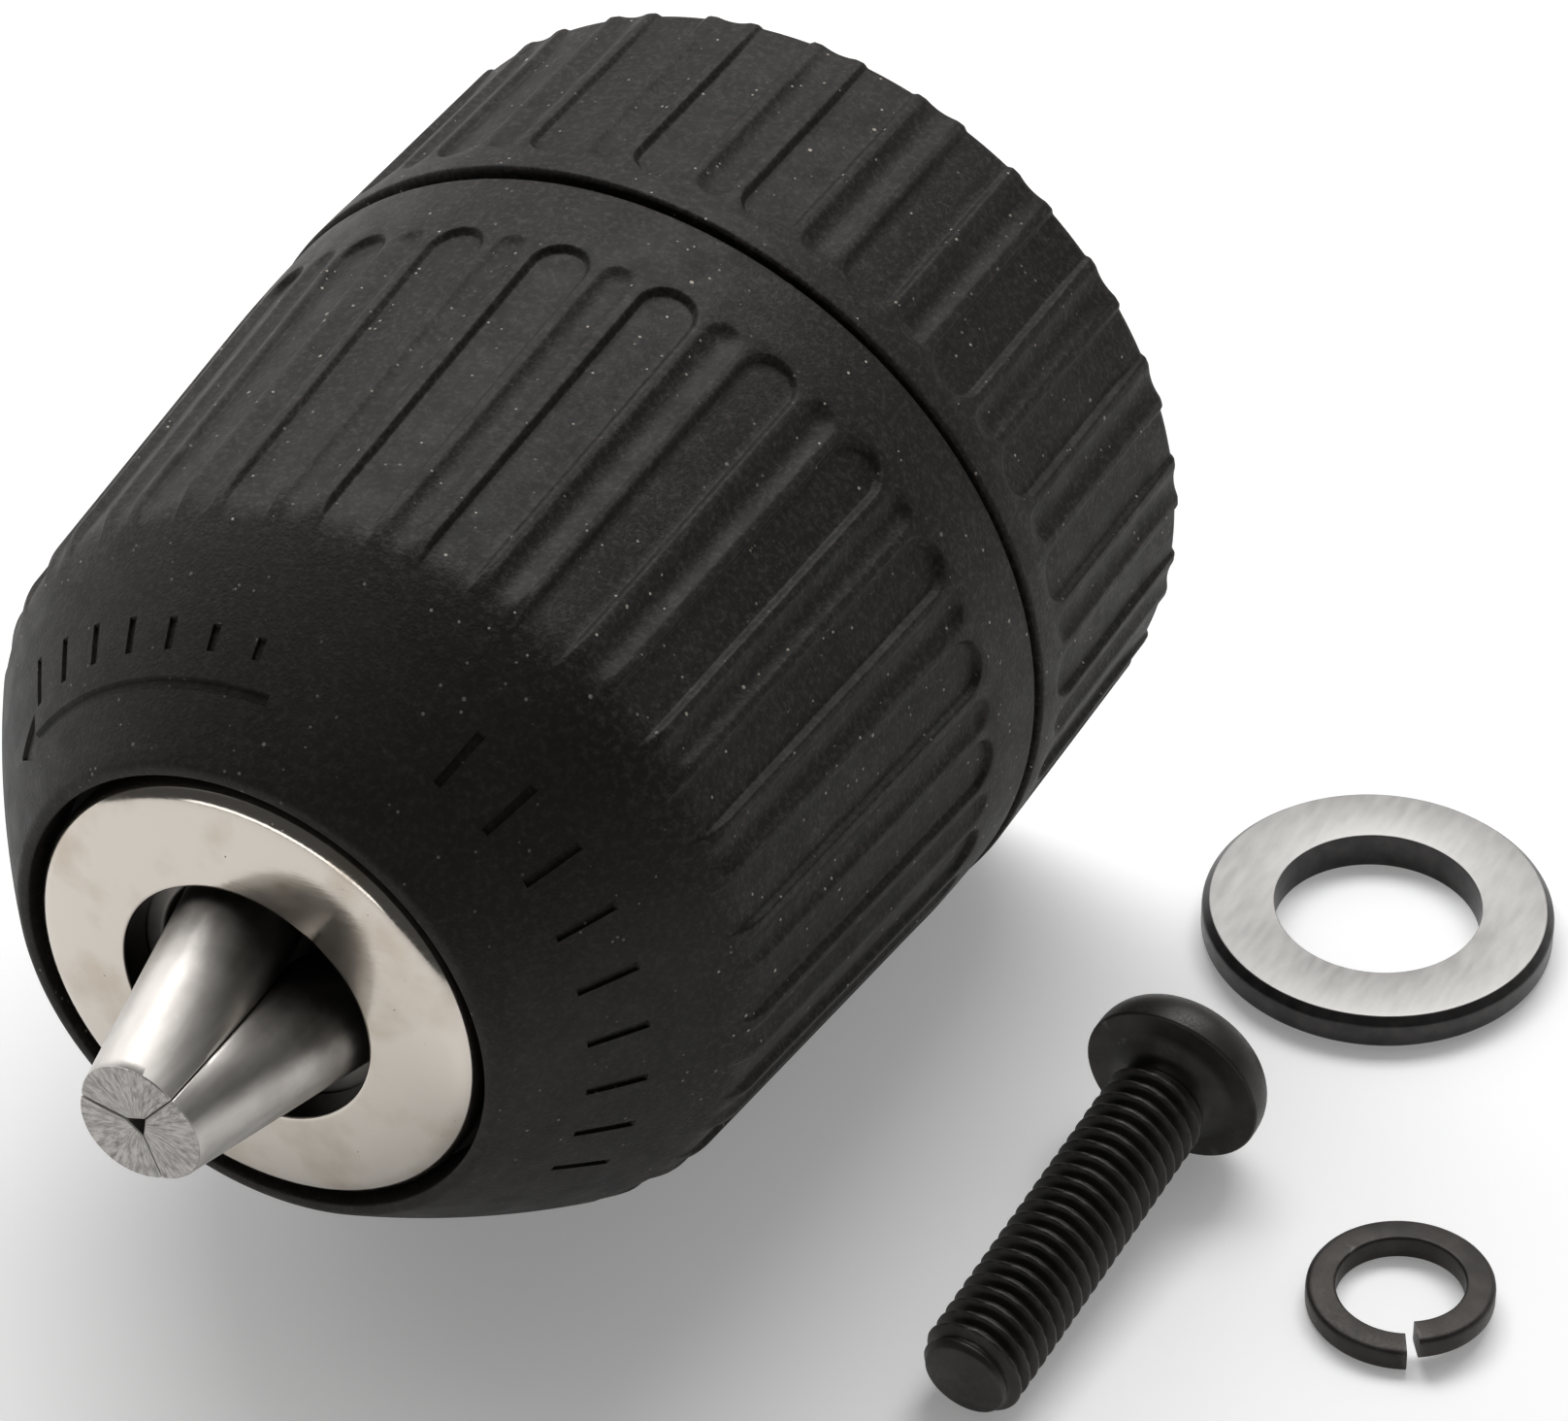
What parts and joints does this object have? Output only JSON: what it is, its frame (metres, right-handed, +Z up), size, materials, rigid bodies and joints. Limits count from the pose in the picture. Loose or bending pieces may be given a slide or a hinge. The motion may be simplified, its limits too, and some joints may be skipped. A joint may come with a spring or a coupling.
{
  "type": "drill chuck",
  "caption": "Keyless two-sleeve drill chuck with self-centring jaws, shown with its loose retaining screw, spacer washer and split lock washer.",
  "frame": {"origin": "on the chuck's axis at the mouth of the spindle thread, in the rear mounting face", "axes": "+Y along the chuck's axis out of the rear, the way the spindle leaves; the nose points to -Y; +Z up with the chuck lying on its side"},
  "size_m": [0.0683, 0.0654, 0.042],
  "materials": {
    "sleeve_plastic": "fine-grained black moulded plastic",
    "body_steel": "dark turned steel",
    "nickel_ring": "polished nickel plate with faint stains",
    "bearing_steel": "ground bearing steel",
    "cage_brass": "satin brass",
    "nut_steel": "turned steel",
    "jaw_steel": "ground satin tool steel",
    "screw_black": "black oxide with an oily satin sheen",
    "washer_ground": "ground steel face with dark chamfered edges",
    "lock_black": "dark grey phosphate"
  },
  "bodies": {
    "chuck": {"chuck_body": "body_steel", "rear_sleeve": "sleeve_plastic", "nose_ring": "nickel_ring", "thrust_race_rear": "bearing_steel"},
    "sleeve": {"front_sleeve": "sleeve_plastic", "sleeve_insert": "nut_steel", "nut_half_a": "nut_steel", "nut_half_b": "nut_steel", "nut_band": "nut_steel", "thrust_race_front": "bearing_steel"},
    "cage": {"bearing_cage": "cage_brass", "bearing_balls": "bearing_steel"},
    "jaw_1": {"jaw_1": "jaw_steel"},
    "jaw_2": {"jaw_2": "jaw_steel"},
    "jaw_3": {"jaw_3": "jaw_steel"},
    "loose_screw": {"retaining_screw": "screw_black"},
    "loose_spacer": {"spacer_washer": "washer_ground"},
    "loose_lock": {"lock_washer": "lock_black"}
  },
  "joints": [
    {"name": "sleeve_turn", "type": "hinge", "parent": "chuck", "child": "sleeve", "pos_m": [0, -0.03, 0], "axis": [0, -1, 0], "range_deg": [0, 4353]},
    {"name": "cage_turn", "type": "hinge", "parent": "chuck", "child": "cage", "pos_m": [0, -0.0196, 0], "axis": [0, -1, 0], "range_deg": [0, 2177.5]},
    {"name": "jaw_1_slide", "type": "slide", "parent": "chuck", "child": "jaw_1", "axis": [-0.0943, 0.9613, 0.259], "range_m": [0, 0.01814]},
    {"name": "jaw_2_slide", "type": "slide", "parent": "chuck", "child": "jaw_2", "axis": [-0.1772, 0.9613, -0.2112], "range_m": [0, 0.01814]},
    {"name": "jaw_3_slide", "type": "slide", "parent": "chuck", "child": "jaw_3", "axis": [0.2714, 0.9613, -0.0479], "range_m": [0, 0.01814]},
    {"name": "screw_lift", "type": "slide", "parent": "chuck", "child": "loose_screw", "axis": [0, 0, 1], "range_m": [0, 0.05]},
    {"name": "spacer_lift", "type": "slide", "parent": "chuck", "child": "loose_spacer", "axis": [0, 0, 1], "range_m": [0, 0.05]},
    {"name": "lock_lift", "type": "slide", "parent": "chuck", "child": "loose_lock", "axis": [0, 0, 1], "range_m": [0, 0.05]}
  ],
  "couplings": [
    {"joint": "cage_turn", "follows": "sleeve_turn", "ratio": 0.5},
    {"joint": "jaw_1_slide", "follows": "sleeve_turn", "m_per_rad": 0.00023873},
    {"joint": "jaw_2_slide", "follows": "sleeve_turn", "m_per_rad": 0.00023873},
    {"joint": "jaw_3_slide", "follows": "sleeve_turn", "m_per_rad": 0.00023873}
  ]
}
